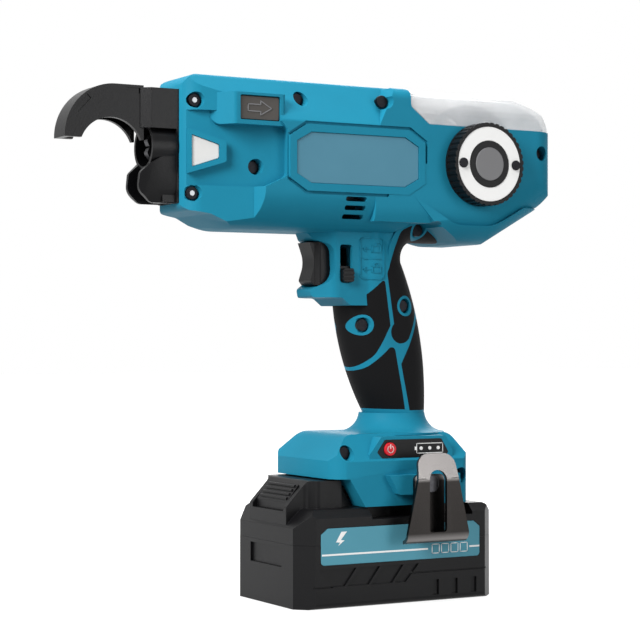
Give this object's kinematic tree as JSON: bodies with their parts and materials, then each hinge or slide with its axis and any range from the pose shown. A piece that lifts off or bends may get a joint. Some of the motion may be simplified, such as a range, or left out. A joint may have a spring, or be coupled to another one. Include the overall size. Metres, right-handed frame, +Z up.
{
  "type": "rebar tying tool",
  "caption": "Cordless rebar tying tool: curved jaw with a twist hook, wire reel under a clear hinged cover, pistol grip, slide-on battery pack and belt hook.",
  "frame": {"origin": "centre of the battery pack's underside", "axes": "+Z up, jaw towards -X, the tool's left side towards -Y"},
  "size_m": [0.2765, 0.0871, 0.267],
  "materials": {
    "teal_plastic": "satin moulded plastic with a fine grain",
    "black_plastic": "textured black moulded plastic",
    "rubber": "soft overmoulded rubber",
    "plate_teal": "bare plate",
    "label": "printed film, plain stripe",
    "white_plastic": "white plate and ring",
    "cast_black": "black coated cast and pressed metal",
    "steel": "ground steel",
    "frame_metal": "die-cast frame",
    "motor_steel": "motor can",
    "reel_plastic": "light grey plastic",
    "clear_plastic": "clear moulded cover",
    "red_plastic": "red push button",
    "grey_plastic": "grey cap",
    "board": "circuit board",
    "brass": "contacts",
    "cell": "wrapped cells"
  },
  "bodies": {
    "housing": {"left_housing": "teal_plastic", "right_housing": "teal_plastic", "housing_screws": "steel", "left_grip_rubber": "rubber", "right_grip_rubber": "rubber", "rating_plate": "plate_teal", "nose_plate": "white_plastic", "nose_casting": "cast_black", "upper_jaw": "cast_black", "jaw_pin": "steel", "gearbox_frame": "frame_metal", "front_bearing": "steel", "rear_bearing": "steel", "twist_motor": "motor_steel", "feed_frame": "frame_metal", "feed_axles": "steel", "feed_motor": "motor_steel", "wire_guide_tube": "steel", "cutter_die": "steel", "reel_stub_axle": "steel", "plunger_sleeve": "steel", "plunger_spring": "steel", "cover_hinge_pin": "steel", "trigger_spring": "steel", "trigger_switch": "black_plastic", "control_board": "board", "terminal_block": "black_plastic", "indicator_panel": "black_plastic", "indicator_lamps": "white_plastic", "belt_hook": "cast_black", "belt_hook_screw": "steel"},
    "twist_spindle": {"twist_gear": "steel", "twist_shaft": "steel", "twist_hook": "steel"},
    "twist_pinion": {"motor_pinion": "steel"},
    "feed_wheel_low": {"lower_feed_gear": "steel"},
    "feed_wheel_high": {"upper_feed_gear": "steel"},
    "feed_drive": {"feed_pinion": "steel"},
    "cutter": {"cutter_lever": "steel"},
    "reel": {"wire_reel": "reel_plastic"},
    "plunger": {"spool_plunger": "steel"},
    "knob": {"spool_knob": "black_plastic", "knob_ring": "white_plastic", "knob_screws": "steel", "knob_cap": "grey_plastic"},
    "cover": {"spool_cover": "clear_plastic"},
    "trigger": {"trigger": "black_plastic"},
    "lock": {"lock_lever": "black_plastic"},
    "push_plate": {"push_plate": "black_plastic"},
    "power_button": {"power_button": "red_plastic"},
    "battery_pack": {"pack_lower_case": "black_plastic", "pack_upper_case": "black_plastic", "pack_label": "label", "pack_cells": "cell", "pack_terminals": "brass", "release_spring": "steel"},
    "release_latch": {"release_button": "black_plastic"}
  },
  "joints": [
    {"name": "twist_spin", "type": "hinge", "parent": "housing", "child": "twist_spindle", "pos_m": [-0.08, 0, 0.2308], "axis": [1, 0, 0], "continuous": true},
    {"name": "twist_pinion_spin", "type": "hinge", "parent": "housing", "child": "twist_pinion", "pos_m": [-0.06, 0, 0.2148], "axis": [1, 0, 0], "continuous": true},
    {"name": "feed_low_spin", "type": "hinge", "parent": "housing", "child": "feed_wheel_low", "pos_m": [-0.004, 0, 0.2406], "axis": [0, 1, 0], "continuous": true},
    {"name": "feed_high_spin", "type": "hinge", "parent": "housing", "child": "feed_wheel_high", "pos_m": [-0.004, 0, 0.2534], "axis": [0, 1, 0], "continuous": true},
    {"name": "feed_drive_spin", "type": "hinge", "parent": "housing", "child": "feed_drive", "pos_m": [-0.0152, 0.006, 0.2406], "axis": [0, 1, 0], "continuous": true},
    {"name": "cutter_swing", "type": "hinge", "parent": "housing", "child": "cutter", "pos_m": [-0.096, 0.009, 0.2395], "axis": [1, 0, 0], "range_deg": [0, 15], "stiffness_Nm_per_rad": 0.02},
    {"name": "reel_spin", "type": "hinge", "parent": "housing", "child": "reel", "pos_m": [0.052, 0, 0.2273], "axis": [0, 1, 0], "continuous": true},
    {"name": "plunger_pull", "type": "slide", "parent": "housing", "child": "plunger", "axis": [0, -1, 0], "range_m": [0, 0.005], "stiffness_N_per_m": 400, "deforming": ["plunger_spring"]},
    {"name": "knob_turn", "type": "hinge", "parent": "plunger", "child": "knob", "pos_m": [0.052, -0.036, 0.2273], "axis": [0, -1, 0], "range_deg": [0, 90]},
    {"name": "cover_open", "type": "hinge", "parent": "housing", "child": "cover", "pos_m": [0.0126, 0, 0.2626], "axis": [0, -1, 0], "range_deg": [0, 85]},
    {"name": "trigger_pull", "type": "slide", "parent": "housing", "child": "trigger", "axis": [1, 0, 0], "range_m": [0, 0.006], "stiffness_N_per_m": 800, "deforming": ["trigger_spring"]},
    {"name": "lock_slide", "type": "slide", "parent": "housing", "child": "lock", "axis": [0, 0, 1], "range_m": [0, 0.012]},
    {"name": "push_plate_press", "type": "slide", "parent": "housing", "child": "push_plate", "axis": [0, 1, 0], "range_m": [0, 0.0015], "stiffness_N_per_m": 800},
    {"name": "power_press", "type": "slide", "parent": "housing", "child": "power_button", "axis": [0, 1, 0], "range_m": [0, 0.0008], "stiffness_N_per_m": 800},
    {"name": "battery_slide", "type": "slide", "parent": "housing", "child": "battery_pack", "axis": [-1, 0, 0], "range_m": [0, 0.11]},
    {"name": "release_press", "type": "slide", "parent": "battery_pack", "child": "release_latch", "axis": [0, 0, -1], "range_m": [0, 0.0035], "stiffness_N_per_m": 800, "deforming": ["release_spring"]}
  ],
  "couplings": [
    {"joint": "twist_pinion_spin", "follows": "twist_spin", "ratio": -2.3333},
    {"joint": "feed_high_spin", "follows": "feed_low_spin", "ratio": -1},
    {"joint": "feed_drive_spin", "follows": "feed_low_spin", "ratio": -1.3333}
  ]
}
